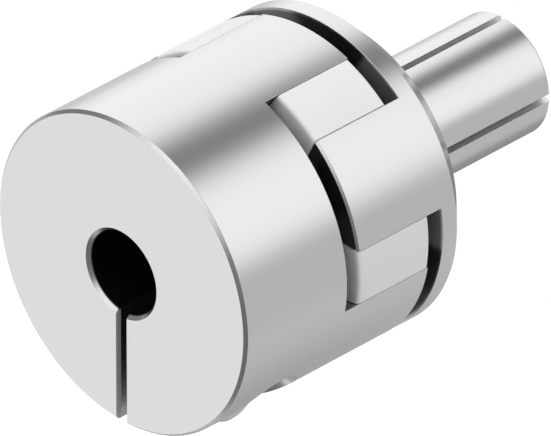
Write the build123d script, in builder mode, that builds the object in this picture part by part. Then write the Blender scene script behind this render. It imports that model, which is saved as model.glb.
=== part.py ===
from build123d import *
import os
from math import cos, radians, sin, sqrt, tan

# Backlash-free jaw coupling. A clamping hub grips one shaft, an elastomer spider carries the torque
# between two sets of jaws, and the second hub ends in a slotted shaft that a cone expands in a bore.
# The coupling's axis is Y. The origin is the mouth of the clamping bore, in the middle of the front
# face, +Y runs towards the expanding shaft, and the clamping slit is at the bottom (-Z).
# Threads are plain cylinders at their nominal size.

# ---- driving dimensions, millimetres and degrees ----
outer_diameter = 42.0  # both hubs and the spider
clamp_length = 17.0  # solid part of the clamping hub
jaw_length = 14.0  # on both hubs
hub_spacing = 16.2  # between the two hubs' solid parts
spider_width = 12.0
disc_length = 5.8  # solid part of the expanding hub
edge_break = 0.4  # outer edge of the front face
jaw_edge_break = 0.25  # outer edge of the expanding hub's jaw tips

bore_diameter = 11.0
bore_chamfer = 0.5
slit_width = 1.8

jaws_per_hub = 3
first_clamping_jaw = 90.0  # angle from +X towards +Z
jaw_inner_radius = 10.3

tooth_tip_width = 7.16  # across the tooth at the outer diameter
tooth_middle_width = 7.6  # at its widest
tooth_root_width = 5.0
tooth_root_radius = 8.5
tooth_middle_radius = 15.0
tooth_edge_fillet = 0.6
flank_clearance = 0.1  # tooth to jaw, each side
ring_clearance = 0.3  # spider ring to the jaws
ring_setback = 1.0  # spider ring behind the teeth's ends
spider_hole_diameter = 15.0

clamp_screw_diameter = 5.0  # M5
clamp_screw_length = 16.0
clamp_screw_head_diameter = 8.5
clamp_screw_head_height = 5.0
clamp_screw_socket = 4.0  # across flats
clamp_screw_socket_depth = 2.5
clamp_screw_y = 9.2  # behind the front face
clamp_screw_margin = 4.9  # from its axis up to the lowest point of the outer diameter
clamp_screw_seat = 4.7  # head's seat beside the slit's middle
clamp_counterbore_diameter = 10.0
clamp_hole_clearance = 0.25

shaft_diameter = 16.0
shaft_length = 26.0
shaft_end_chamfer = 0.4
disc_chamfer = 3.4
slot_width = 1.0
slot_length = 22.0
slot_count = 2  # each runs right across the shaft

draw_screw_diameter = 6.0  # M6
draw_screw_length = 25.0
draw_screw_head_diameter = 10.0
draw_screw_head_height = 6.0
draw_screw_socket = 5.0
draw_screw_socket_depth = 3.0
draw_screw_seat_depth = 5.0  # below the disc's front face
draw_hole_clearance = 0.3
draw_counterbore_clearance = 0.3

cone_length = 12.0
cone_mouth_diameter = 12.6  # at the end of the shaft
cone_half_angle = 8.0
cone_clearance = 0.05
taper_run_out = 0.4  # the taper starts this far before the cone

thread_clearance = 0.05
screw_edge_chamfer = 0.3
screw_tip_chamfer = 0.6

# ---- places along the axis, from the front face ----
outer_radius = outer_diameter / 2
bore_radius = bore_diameter / 2
shaft_radius = shaft_diameter / 2
disc_front = clamp_length + hub_spacing
disc_back = disc_front + disc_length
shaft_end = disc_back + shaft_length
expanding_jaw_tip = disc_front - jaw_length
spider_front = clamp_length + (hub_spacing - spider_width) / 2
clamp_screw_drop = outer_radius - clamp_screw_margin
jaw_pitch = 360 / jaws_per_hub
tooth_pitch = jaw_pitch / 2
cut_over = 1.0  # how far a cut runs past the surface it opens


def across(y):
    """Plane square to the axis at y: local x is X, local y is Z, and -amount extrudes towards +Y."""
    return Plane.XZ.offset(-y)


def on_outer_rim(edge):
    """True for an arc that lies on the outer diameter."""
    return edge.geom_type == GeomType.CIRCLE and abs(edge.radius - outer_radius) < 0.001


# ---- tooth and jaw outlines, each centred on local +X ----
tip_half = tooth_tip_width / 2
tip_x = sqrt(outer_radius**2 - tip_half**2)
root_half = tooth_root_width / 2
middle_half = tooth_middle_width / 2

with BuildSketch() as tooth_outline:
    with BuildLine():
        flank = ThreePointArc(
            (tooth_root_radius, root_half), (tooth_middle_radius, middle_half), (tip_x, tip_half)
        )
        ThreePointArc(flank @ 1, (outer_radius, 0), (tip_x, -tip_half))
        mirror(flank, about=Plane.XZ)
        Line((tooth_root_radius, -root_half), (tooth_root_radius, root_half))
    make_face()

with BuildSketch() as pocket_outline:
    add(tooth_outline.sketch)
    offset(amount=flank_clearance, kind=Kind.INTERSECTION)

with BuildSketch() as jaw_outline:
    Circle(outer_radius)
    Circle(jaw_inner_radius, mode=Mode.SUBTRACT)
    sector_reach = 2 * outer_radius
    sector_half = radians(tooth_pitch / 2)
    with BuildLine():
        Polyline(
            (0, 0),
            (sector_reach * cos(sector_half), sector_reach * sin(sector_half)),
            (sector_reach * cos(sector_half), -sector_reach * sin(sector_half)),
            close=True,
        )
    make_face(mode=Mode.INTERSECT)
    with PolarLocations(0, 2, start_angle=-tooth_pitch / 2, angular_range=2 * tooth_pitch):
        add(pocket_outline.sketch, mode=Mode.SUBTRACT)

# ---- clamping hub: turned and milled aluminium, slit below the bore, with three jaws at the back ----
screw_place = (clamp_screw_y, -clamp_screw_drop)
clamp_screw_radius = clamp_screw_diameter / 2

with BuildPart() as clamping_hub:
    with BuildSketch(across(0)):
        Circle(outer_radius)
        Circle(bore_radius, mode=Mode.SUBTRACT)
    extrude(amount=-clamp_length)
    front_rims = clamping_hub.edges().group_by(Axis.Y)[0].sort_by(SortBy.RADIUS)
    back_rims = clamping_hub.edges().group_by(Axis.Y)[-1].sort_by(SortBy.RADIUS)
    chamfer(front_rims[-1], length=edge_break)
    chamfer([front_rims[0], back_rims[0]], length=bore_chamfer)
    with BuildSketch(across(clamp_length)):
        with PolarLocations(0, jaws_per_hub, start_angle=first_clamping_jaw):
            add(jaw_outline.sketch)
    extrude(amount=-jaw_length)
    # slit from the bore to the outside
    with BuildSketch(across(0)):
        Rectangle(slit_width, outer_diameter, align=(Align.CENTER, Align.MAX))
    extrude(amount=-clamp_length, mode=Mode.SUBTRACT)
    # counterbore and clearance hole on the +X side, tapped hole on the -X side
    with BuildSketch(Plane.YZ.offset(clamp_screw_seat)):
        with Locations(screw_place):
            Circle(clamp_counterbore_diameter / 2)
    extrude(amount=outer_radius, mode=Mode.SUBTRACT)
    with BuildSketch(Plane.YZ):
        with Locations(screw_place):
            Circle(clamp_screw_radius + clamp_hole_clearance)
    extrude(amount=clamp_screw_seat, mode=Mode.SUBTRACT)
    with BuildSketch(Plane.YZ):
        with Locations(screw_place):
            Circle(clamp_screw_radius + thread_clearance)
    extrude(amount=-outer_radius, mode=Mode.SUBTRACT)


# ---- screws: one socket-head form, turned about its own axis, in the two sizes ----
def socket_screw_at(plane, diameter, length, head_diameter, head_height, socket, socket_depth):
    """Cap screw whose seat lies on the plane, with its head on the side that the normal points to."""
    with BuildPart() as screw:
        with BuildSketch(plane):
            Circle(head_diameter / 2)
        extrude(amount=head_height)
        with BuildSketch(plane):
            Circle(diameter / 2)
        extrude(amount=-length)
        ends = screw.edges().filter_by(GeomType.CIRCLE).sort_by(Axis(plane.origin, plane.z_dir))
        chamfer(ends[-1], length=screw_edge_chamfer)
        chamfer(ends[0], length=screw_tip_chamfer)
        with BuildSketch(plane.offset(head_height)):
            RegularPolygon(socket / 2, side_count=6, major_radius=False)
        extrude(amount=-socket_depth, mode=Mode.SUBTRACT)
    return screw


clamp_seat_plane = Plane(
    origin=(clamp_screw_seat, clamp_screw_y, -clamp_screw_drop), x_dir=(0, 1, 0), z_dir=(1, 0, 0)
)
clamping_screw = socket_screw_at(
    clamp_seat_plane,
    clamp_screw_diameter,
    clamp_screw_length,
    clamp_screw_head_diameter,
    clamp_screw_head_height,
    clamp_screw_socket,
    clamp_screw_socket_depth,
)

# ---- elastomer spider: one moulding, six teeth on a ring ----
with BuildPart() as elastomer_spider:
    with BuildSketch(across(spider_front + ring_setback)):
        Circle(jaw_inner_radius - ring_clearance)
    extrude(amount=-(spider_width - 2 * ring_setback))
    with BuildSketch(across(spider_front)):
        with PolarLocations(0, 2 * jaws_per_hub):
            add(tooth_outline.sketch)
    extrude(amount=-spider_width)
    fillet(elastomer_spider.edges().filter_by(on_outer_rim), radius=tooth_edge_fillet)
    with BuildSketch(across(spider_front)):
        Circle(spider_hole_diameter / 2)
    extrude(amount=-spider_width, mode=Mode.SUBTRACT)

# ---- expanding hub: disc with three jaws forward and a hollow slotted shaft behind ----
draw_screw_radius = draw_screw_diameter / 2
draw_screw_seat = disc_front + draw_screw_seat_depth
cone_mouth_radius = cone_mouth_diameter / 2
cone_taper = tan(radians(cone_half_angle))
cone_throat_radius = cone_mouth_radius - cone_length * cone_taper
taper_start = shaft_end - cone_length - taper_run_out

with BuildPart() as expanding_hub:
    with BuildSketch(across(disc_front)):
        Circle(outer_radius)
    extrude(amount=-disc_length)
    chamfer(expanding_hub.edges().sort_by(Axis.Y)[-1], length=disc_chamfer)
    with BuildSketch(across(expanding_jaw_tip)):
        with PolarLocations(0, jaws_per_hub, start_angle=first_clamping_jaw + tooth_pitch):
            add(jaw_outline.sketch)
    extrude(amount=-jaw_length)
    tip_arcs = expanding_hub.edges().filter_by(on_outer_rim).group_by(Axis.Y)[0]
    chamfer(tip_arcs, length=jaw_edge_break)
    # the circle starts, and so the wall has its seam, halfway between two slots
    with BuildSketch(across(disc_back)):
        with PolarLocations(0, 1, start_angle=90 / slot_count):
            Circle(shaft_radius)
    extrude(amount=-shaft_length)
    chamfer(expanding_hub.edges().group_by(Axis.Y)[-1], length=shaft_end_chamfer)
    # counterbored hole for the draw screw, then the taper that the cone is pulled into
    with BuildSketch(Plane.XY):
        with BuildLine():
            head_room = draw_screw_head_diameter / 2 + draw_counterbore_clearance
            hole_radius = draw_screw_radius + draw_hole_clearance
            Polyline(
                (0, disc_front),
                (head_room, disc_front),
                (head_room, draw_screw_seat),
                (hole_radius, draw_screw_seat),
                (hole_radius, taper_start),
                (cone_throat_radius - taper_run_out * cone_taper, taper_start),
                (cone_mouth_radius, shaft_end),
                (0, shaft_end),
                close=True,
            )
        make_face()
    revolve(axis=Axis.Y, mode=Mode.SUBTRACT)
    # slots across the shaft, open at its end
    with BuildSketch(across(shaft_end - slot_length)):
        with PolarLocations(0, slot_count, angular_range=180):
            Rectangle(shaft_diameter + cut_over, slot_width)
    extrude(amount=-slot_length, mode=Mode.SUBTRACT)

# ---- expanding cone: steel nut that the draw screw pulls into the shaft's end ----
with BuildPart() as expanding_cone:
    with BuildSketch(Plane.XY):
        with BuildLine():
            Polyline(
                (draw_screw_radius + thread_clearance, shaft_end - cone_length),
                (cone_throat_radius - cone_clearance, shaft_end - cone_length),
                (cone_mouth_radius - cone_clearance, shaft_end),
                (draw_screw_radius + thread_clearance, shaft_end),
                close=True,
            )
        make_face()
    revolve(axis=Axis.Y)

# ---- draw screw: reached with a key through the clamping bore ----
draw_seat_plane = Plane(origin=(0, draw_screw_seat, 0), x_dir=(1, 0, 0), z_dir=(0, -1, 0))
draw_screw = socket_screw_at(
    draw_seat_plane,
    draw_screw_diameter,
    draw_screw_length,
    draw_screw_head_diameter,
    draw_screw_head_height,
    draw_screw_socket,
    draw_screw_socket_depth,
)

# ---- write one file for each piece ----
os.makedirs("parts", exist_ok=True)

clamping_hub.part.label = "clamping_hub"
export_step(clamping_hub.part, "parts/clamping_hub.step")
clamping_screw.part.label = "clamping_screw"
export_step(clamping_screw.part, "parts/clamping_screw.step")
elastomer_spider.part.label = "elastomer_spider"
export_step(elastomer_spider.part, "parts/elastomer_spider.step")
expanding_hub.part.label = "expanding_hub"
export_step(expanding_hub.part, "parts/expanding_hub.step")
expanding_cone.part.label = "expanding_cone"
export_step(expanding_cone.part, "parts/expanding_cone.step")
draw_screw.part.label = "draw_screw"
export_step(draw_screw.part, "parts/draw_screw.step")
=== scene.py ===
from math import cos, radians, sin

import bpy
from mathutils import Matrix, Vector


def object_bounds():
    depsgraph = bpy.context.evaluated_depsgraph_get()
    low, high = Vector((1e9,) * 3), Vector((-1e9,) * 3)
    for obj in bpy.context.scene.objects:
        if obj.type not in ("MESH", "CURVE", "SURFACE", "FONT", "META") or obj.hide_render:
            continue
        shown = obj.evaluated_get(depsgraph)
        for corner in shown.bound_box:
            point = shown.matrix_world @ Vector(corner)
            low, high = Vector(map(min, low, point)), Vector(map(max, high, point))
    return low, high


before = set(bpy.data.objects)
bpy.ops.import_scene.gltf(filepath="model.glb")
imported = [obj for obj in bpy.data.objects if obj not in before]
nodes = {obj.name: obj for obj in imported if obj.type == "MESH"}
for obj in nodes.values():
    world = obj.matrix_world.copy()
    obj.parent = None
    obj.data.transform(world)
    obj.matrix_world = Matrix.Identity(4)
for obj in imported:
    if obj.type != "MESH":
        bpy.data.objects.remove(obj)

cad_low, cad_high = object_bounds()

# ---- camera ------------------------------------------------------------------------------------
# A long lens looks down on the coupling from the right of its front face, so that the clamping
# bore faces the viewer and the expanding shaft runs away to the upper right.
camera_turn, camera_rise = radians(45.03), radians(31.98)
lens_length, sensor_width = 1309.72, 36
camera_distance = 2.403
sight_right, sight_up = -0.003916, -0.005117
sight_point = Vector((0, 0.0315, 0))

back = Vector((
    sin(camera_turn) * cos(camera_rise), -cos(camera_turn) * cos(camera_rise), sin(camera_rise)
))
right = Vector((cos(camera_turn), sin(camera_turn), 0))
up = back.cross(right)
camera_data = bpy.data.cameras.new("camera")
camera_data.sensor_width = sensor_width
camera_data.lens = lens_length
camera_data.clip_start, camera_data.clip_end = 0.1, 50
camera = bpy.data.objects.new("camera", camera_data)
bpy.context.scene.collection.objects.link(camera)
camera.matrix_world = Matrix((
    (right.x, up.x, back.x, 0), (right.y, up.y, back.y, 0), (right.z, up.z, back.z, 0), (0, 0, 0, 1)
))
camera.location = sight_point + camera_distance * back + sight_right * right + sight_up * up
bpy.context.scene.camera = camera
bpy.context.scene.view_settings.view_transform = "Standard"


# ---- studio ------------------------------------------------------------------------------------
# Two soft boxes stand behind the coupling, left and right of it, one in front and one overhead,
# all smooth glows in the world. Below the horizon the room sends back light from its floor, less
# at the front right and at the rear left, where black flags stand. Underneath, a dark patch is
# painted into the world as a painted shadow of the coupling on the floor.
class Wire:
    """One socket of a node tree. Python's operators on it add Math nodes."""

    def __init__(self, tree, socket):
        self.tree, self.socket = tree, socket

    def node(self, kind, settings=None, inputs=None, output=0):
        """Adds a node of a kind, sets its settings, then its inputs' values or links."""
        made = self.tree.nodes.new(kind)
        for name, value in (settings or {}).items():
            setattr(made, name, value)
        for name, value in (inputs or {}).items():
            if isinstance(value, Wire):
                self.tree.links.new(value.socket, made.inputs[name])
            else:
                made.inputs[name].default_value = value
        return Wire(self.tree, made.outputs[output] if len(made.outputs) else None)

    def maths(self, operation, *values):
        return self.node("ShaderNodeMath", {"operation": operation}, dict(enumerate(values)))

    def __add__(self, other):
        return self.maths("ADD", self, other)

    def __radd__(self, other):
        return self.maths("ADD", other, self)

    def __sub__(self, other):
        return self.maths("SUBTRACT", self, other)

    def __rsub__(self, other):
        return self.maths("SUBTRACT", other, self)

    def __mul__(self, other):
        return self.maths("MULTIPLY", self, other)

    def __rmul__(self, other):
        return self.maths("MULTIPLY", other, self)

    def __pow__(self, other):
        return self.maths("POWER", self, other)

    def __abs__(self):
        return self.maths("ABSOLUTE", self)

    def axis(self, name):
        """One part of a vector."""
        place = "XYZ".index(name)
        return self.node("ShaderNodeSeparateXYZ", inputs={"Vector": self}, output=place)

    def clear_of(self, low, high):
        """0 below low, 1 above high, smooth between."""
        ends = {"Value": self, "From Min": low, "From Max": high}
        return self.node("ShaderNodeMapRange", {"interpolation_type": "SMOOTHSTEP"}, ends)


world = bpy.data.worlds.new("studio")
bpy.context.scene.world = world
world.use_nodes = True
world.node_tree.nodes.clear()
start = Wire(world.node_tree, None)
looking = start.node("ShaderNodeTexCoord")


def glow(strength, direction, inner, outer):
    """Full within the inner angle of a direction, none outside the outer one, in degrees."""
    aim = Vector(direction).normalized()
    facing = start.node(
        "ShaderNodeVectorMath", {"operation": "DOT_PRODUCT"}, {0: looking, 1: aim}, output=1
    )
    return strength * facing.clear_of(cos(radians(outer)), cos(radians(inner)))


left_box = glow(1.15, (-0.66, 0.60, 0.46), 17, 39)
right_box = glow(1.17, (0.62, 0.60, 0.51), 13, 37)
front_box = glow(1.05, (0.00, -0.76, 0.65), 15, 48)
top_box = glow(1.40, (0.00, -0.25, 0.97), 12, 28)
front_flag = glow(0.72, (0.56, -0.56, -0.60), 25, 52)
rear_flag = glow(0.62, (-0.40, 0.80, -0.44), 8, 22)
# Painted shadow: this dark patch stands in for the coupling's own shadow on the floor beneath it.
painted_shadow_below = glow(0.50, (-0.26, 0.60, -0.76), 8, 26)
wall_light, floor_light = 0.27, 0.47
horizon_from, horizon_to = -0.10, 0.12
from_below = floor_light * (0 - looking.axis("Z")).clear_of(horizon_from, horizon_to)
boxes = left_box + right_box + front_box + top_box
# The two flags and the painted shadow dim the room together.
flags_and_painted_shadow = (1 - front_flag) * (1 - rear_flag) * (1 - painted_shadow_below)
room = (wall_light + from_below + boxes) * flags_and_painted_shadow
lit = start.node("ShaderNodeBackground", inputs={"Color": room})
blank = start.node("ShaderNodeBackground", inputs={"Color": (1, 1, 1, 1)})
seen = start.node("ShaderNodeLightPath")
shown = start.node("ShaderNodeMixShader", inputs={0: seen, 1: lit, 2: blank})
start.node("ShaderNodeOutputWorld", inputs={"Surface": shown})

floor_drop = 0.014
floor_left, floor_right, floor_front, floor_rear = -0.06, 0.06, 0.0, 0.068
floor_white = 0.85
floor_lift = 0.80  # for the camera alone, so that the floor ends in white
floor_level = cad_low.z - floor_drop
floor_mesh = bpy.data.meshes.new("floor")
floor_corners = [
    (floor_left, floor_front, floor_level),
    (floor_right, floor_front, floor_level),
    (floor_right, floor_rear, floor_level),
    (floor_left, floor_rear, floor_level),
]
floor_mesh.from_pydata(floor_corners, [], [(0, 1, 2, 3)])
floor = bpy.data.objects.new("floor", floor_mesh)
bpy.context.scene.collection.objects.link(floor)
floor_paint = bpy.data.materials.new("floor_paint")
floor_paint.use_nodes = True
floor_paint.node_tree.nodes.clear()
start = Wire(floor_paint.node_tree, None)
floor_colour = (floor_white, floor_white, floor_white, 1)
paint = start.node("ShaderNodeBsdfDiffuse", inputs={"Color": floor_colour})
lift = start.node("ShaderNodeEmission", inputs={"Strength": floor_lift})
lifted = start.node("ShaderNodeAddShader", inputs={0: paint, 1: lift})
seen = start.node("ShaderNodeLightPath")
top_side = start.node("ShaderNodeMixShader", inputs={0: seen, 1: paint, 2: lifted})
under_side = start.node("ShaderNodeBsdfTransparent")
underneath = start.node("ShaderNodeNewGeometry", output=6)
shown = start.node("ShaderNodeMixShader", inputs={0: underneath, 1: top_side, 2: under_side})
start.node("ShaderNodeOutputMaterial", inputs={"Surface": shown})
floor_mesh.materials.append(floor_paint)


# ---- clamping hub ------------------------------------------------------------------------------
# The front hub is turned and milled from aluminium bar and left bright. A slit below the bore
# lets its screw close it on a shaft. The lathe leaves fine rings around the axis. Flat faces across
# the axis are painted brighter as a painted reflection, the bore, the slit and the pockets between
# the jaws are painted darker as painted shade, and the slit's mouth carries a painted highlight.
def new_finish(name):
    """A new material, its Principled shader and the wire that starts its maths."""
    material = bpy.data.materials.new(name)
    material.use_nodes = True
    return material, material.node_tree.nodes["Principled BSDF"], Wire(material.node_tree, None)


def feed(shader, socket_name, wire):
    wire.tree.links.new(wire.socket, shader.inputs[socket_name])


def dress(node_name, material):
    """Puts one finish on the whole of a piece."""
    mesh = nodes[node_name].data
    mesh.materials.clear()
    mesh.materials.append(material)


def axis_reach(start):
    """How far along the coupling's axis a place is, and how far out from it."""
    place = start.node("ShaderNodeTexCoord", output=3)
    across, upward = place.axis("X"), place.axis("Z")
    return place.axis("Y"), (across * across + upward * upward) ** 0.5


def lathe_rings(start, ring_step):
    """Fine uneven rings about the axis: about 0.5, varying with radius and with length."""
    along, radius = axis_reach(start)
    ends = {"X": radius * (1 / ring_step), "Y": along * (1 / ring_step)}
    rings = start.node("ShaderNodeCombineXYZ", inputs=ends)
    detail = {"Vector": rings, "Scale": 1, "Detail": 2, "Roughness": 0.6}
    return start.node("ShaderNodeTexNoise", inputs=detail)


def relief(start, height, strength, depth, edge_round):
    """The normal of a surface with rounded edges, roughened by a height wire to a depth."""
    soft_edges = start.node("ShaderNodeBevel", {"samples": 6}, {"Radius": edge_round})
    sizes = {"Height": height, "Strength": strength, "Distance": depth, "Normal": soft_edges}
    return start.node("ShaderNodeBump", inputs=sizes)


def past(wire, place):
    """0 before a place, 1 after it, with a hair's width between."""
    return wire.clear_of(place, place + 0.00001)


def painted(grey, other_grey, where):
    """One grey changed to another where a mask is 1."""
    return grey + (other_grey - grey) * where


# Painted light: the faced grey is a painted reflection on flat faces, the milled and bored greys
# are painted shade between the jaws, in the slit and in the bore, and the mouth grey is a painted
# highlight at the slit's mouth.
turned_grey, flat_face_reflection_grey, gap_shade_grey, bore_shade_grey = 0.60, 0.97, 0.45, 0.20
sawn_grey, mouth_highlight_grey = 0.86, 0.76
shoulder, disc_front = 0.0170, 0.0332  # the milled jaws and pockets lie between these
outer_radius, bore_radius, shaft_radius = 0.0210, 0.0055, 0.0080
slit_width, slots_start, mouth_highlight_depth = 0.0018, 0.0430, 0.0008
skin, edge = 0.00035, 0.00010  # how deep a turned skin goes, and what is kept off an edge
flat_from, flat_to = 0.94, 0.99
turned_aluminium, shader, start = new_finish("turned_aluminium")
fine_rings = lathe_rings(start, 0.00012)
broad_rings = lathe_rings(start, 0.0011)
place = start.node("ShaderNodeTexCoord", output=3)
along, radius = axis_reach(start)
facing_y = start.node("ShaderNodeNewGeometry", output=1).axis("Y")
# Painted reflection: flat faces across the axis are made brighter.
flat_face_reflection = abs(facing_y).clear_of(flat_from, flat_to)
# Painted shade between the jaws and the spider, from the shoulder to the disc's front.
jaw_gap_shade = past(along, shoulder - edge / 5) * (1 - past(along, disc_front + edge / 10))
jaw_gap_shade = jaw_gap_shade * (1 - past(radius, outer_radius - skin))
# Painted shade in the bore.
bore_shade = 1 - past(radius, bore_radius + edge * 0.7)
in_slit = 1 - past(abs(place.axis("X")), slit_width / 2 + edge / 10)
below_bore = past(0 - place.axis("Z"), bore_radius + edge * 1.5)
slit = in_slit * below_bore * (1 - past(along, shoulder))
# Painted highlight: a light strip along the slit's mouth, which is also made rougher.
slit_mouth_highlight = slit * (1 - along.clear_of(mouth_highlight_depth - edge, mouth_highlight_depth + edge))
slots = past(along, slots_start - edge / 5) * (1 - past(radius, shaft_radius - edge * 1.5))
# The turned grey with painted reflection, painted shade and a painted highlight laid over it; the
# sawn grey of the slots is their own finish.
cut_and_painted_light_grey = painted(turned_grey, flat_face_reflection_grey, flat_face_reflection)
cut_and_painted_light_grey = painted(cut_and_painted_light_grey, gap_shade_grey, jaw_gap_shade)
cut_and_painted_light_grey = painted(cut_and_painted_light_grey, bore_shade_grey, bore_shade)
# Painted shade in the slit.
cut_and_painted_light_grey = painted(cut_and_painted_light_grey, gap_shade_grey, slit)
cut_and_painted_light_grey = painted(cut_and_painted_light_grey, sawn_grey, slots)
cut_and_painted_light_grey = painted(cut_and_painted_light_grey, mouth_highlight_grey, slit_mouth_highlight)
cut_roughness = 0.20 + 0.30 * slots + 0.70 * slit_mouth_highlight
feed(shader, "Base Color", cut_and_painted_light_grey * (0.97 + 0.03 * fine_rings + 0.03 * broad_rings))
feed(shader, "Roughness", cut_roughness + 0.06 * fine_rings + 0.03 * broad_rings)
feed(shader, "Normal", relief(start, fine_rings, 0.10, 0.000004, 0.00010))
shader.inputs["Metallic"].default_value = 1
dress("clamping_hub", turned_aluminium)

# ---- clamping screw ----------------------------------------------------------------------------
# A steel cap screw with a hexagon socket, rolled and dipped in zinc flake, lies across the slit
# in a counterbore. The dip dries to a dull, slightly cloudy skin.
def cloud(start, size, detail):
    """An even mottle, about 0.5, with blots of one size."""
    place = start.node("ShaderNodeTexCoord", output=3)
    sizes = {"Vector": place, "Scale": 1 / size, "Detail": detail, "Roughness": 0.6}
    return start.node("ShaderNodeTexNoise", inputs=sizes)


screw_grey = 0.62
flake_steel, shader, start = new_finish("flake_steel")
skin = cloud(start, 0.0004, 4)
blots = cloud(start, 0.0020, 2)
feed(shader, "Base Color", screw_grey * (0.92 + 0.08 * skin + 0.08 * blots))
feed(shader, "Roughness", 0.24 + 0.12 * skin)
feed(shader, "Normal", relief(start, skin, 0.15, 0.00001, 0.00010))
shader.inputs["Metallic"].default_value = 1
dress("clamping_screw", flake_steel)

# ---- elastomer spider --------------------------------------------------------------------------
# The spider is one moulding of pale grey polyurethane: six barrel-flanked teeth on a ring, held
# between the jaws of both hubs. Its skin is dull with a fine grain from the mould. Its ends are
# painted greyer as shade against the hub faces, and its flanks are painted dark as shade in the
# narrow gaps against the jaws.
# Painted shade: the end grey darkens the teeth's ends against the hub faces, the flank grey the
# flanks in the gaps against the jaws.
spider_grey, end_shade_grey, flank_shade_grey = 0.94, 0.72, 0.28
end_from, end_to = 0.60, 0.95
flank_from, flank_to = 0.30, 0.50
flank_outside, tooth_outside = 0.02015, 0.02035  # the painted flank shade ends where the teeth's edges round off
moulded_elastomer, shader, start = new_finish("moulded_elastomer")
grain = cloud(start, 0.00012, 3)
flow = cloud(start, 0.0030, 2)
along, radius = axis_reach(start)
sideways = start.node("ShaderNodeNewGeometry", output=1).axis("Y")
# Painted shade on the flanks, where they sit against the jaws.
flank_shade = 1 - abs(sideways).clear_of(flank_from, flank_to)
flank_shade = flank_shade * (1 - radius.clear_of(flank_outside, tooth_outside))
# Painted shade on the teeth's ends, against the hub faces.
end_shade = abs(sideways).clear_of(end_from, end_to)
# The spider's own grey with the painted shade laid over it.
skin_and_shade_grey = painted(painted(spider_grey, end_shade_grey, end_shade), flank_shade_grey, flank_shade)
feed(shader, "Base Color", skin_and_shade_grey * (0.96 + 0.04 * grain + 0.04 * flow))
feed(shader, "Roughness", 0.55 + 0.20 * grain)
feed(shader, "Normal", relief(start, grain, 0.20, 0.00001, 0.00010))
dress("elastomer_spider", moulded_elastomer)

# ---- expanding hub -----------------------------------------------------------------------------
# The rear hub is turned from one aluminium bar: a disc with three milled jaws in front and a
# hollow shaft behind, sawn open by crossed slots. It has the clamping hub's turned finish, with
# the same painted reflection on flat faces and painted shade between the jaws.
dress("expanding_hub", turned_aluminium)

# ---- expanding cone ----------------------------------------------------------------------------
# A steel nut, tapered outside and tapped inside, sits in the mouth of the slotted shaft. It is
# ground, so its rings are finer than a lathe's and its colour is darker than the aluminium's.
cone_grey = 0.50
ground_steel, shader, start = new_finish("ground_steel")
grinding = lathe_rings(start, 0.00006)
stain = cloud(start, 0.0015, 2)
feed(shader, "Base Color", cone_grey * (0.93 + 0.07 * grinding + 0.07 * stain))
feed(shader, "Roughness", 0.22 + 0.08 * grinding)
feed(shader, "Normal", relief(start, grinding, 0.10, 0.000003, 0.00008))
shader.inputs["Metallic"].default_value = 1
dress("expanding_cone", ground_steel)

# ---- draw screw --------------------------------------------------------------------------------
# A longer cap screw runs through the rear hub and pulls the cone into the shaft. It is reached
# with a key through the clamping bore, and is dipped like the clamping screw.
dress("draw_screw", flake_steel)
